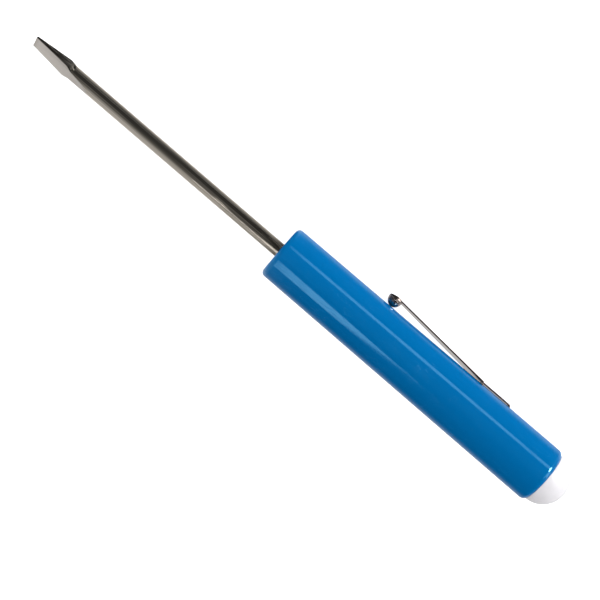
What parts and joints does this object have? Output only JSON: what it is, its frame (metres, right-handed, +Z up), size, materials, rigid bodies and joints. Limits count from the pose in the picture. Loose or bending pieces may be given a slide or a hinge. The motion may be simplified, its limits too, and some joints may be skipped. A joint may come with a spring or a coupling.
{
  "type": "pocket screwdriver",
  "caption": "Small flat-blade pocket screwdriver: round plated blade, smooth tapered handle, sprung pocket clip with a ball end, and a domed end cap that turns.",
  "frame": {"origin": "middle of the footprint of the tool lying on its side, at the height of the surface that it lies on", "axes": "+X along the tool from the blade's tip to the end cap; +Z up from the surface; the pocket clip is on the +Y side, leaning down so that its ball rim and the handle both rest on the surface"},
  "size_m": [0.143, 0.0142, 0.0127],
  "materials": {
    "handle_plastic": "smooth glossy injection moulding, mid blue",
    "blade_plating": "bright nickel plate over a drawn rod, flats as ground",
    "clip_steel": "bright plated spring steel, stamped",
    "cap_plastic": "smooth satin white moulding"
  },
  "bodies": {
    "handle_body": {"handle": "handle_plastic", "blade": "blade_plating", "clip_base": "clip_steel"},
    "clip": {"clip_arm": "clip_steel"},
    "cap": {"end_cap": "cap_plastic"}
  },
  "joints": [
    {"name": "clip_flex", "type": "hinge", "parent": "handle_body", "child": "clip", "pos_m": [0.04278, 0.00458, 0.00252], "axis": [0, -0.5828, -0.8126], "range_deg": [0, 5], "stiffness_Nm_per_rad": 0.26, "springref_deg": -2.64},
    {"name": "cap_spin", "type": "hinge", "parent": "handle_body", "child": "cap", "pos_m": [0.06592, -0.00076, 0.00635], "axis": [1, 0, 0], "continuous": true}
  ]
}
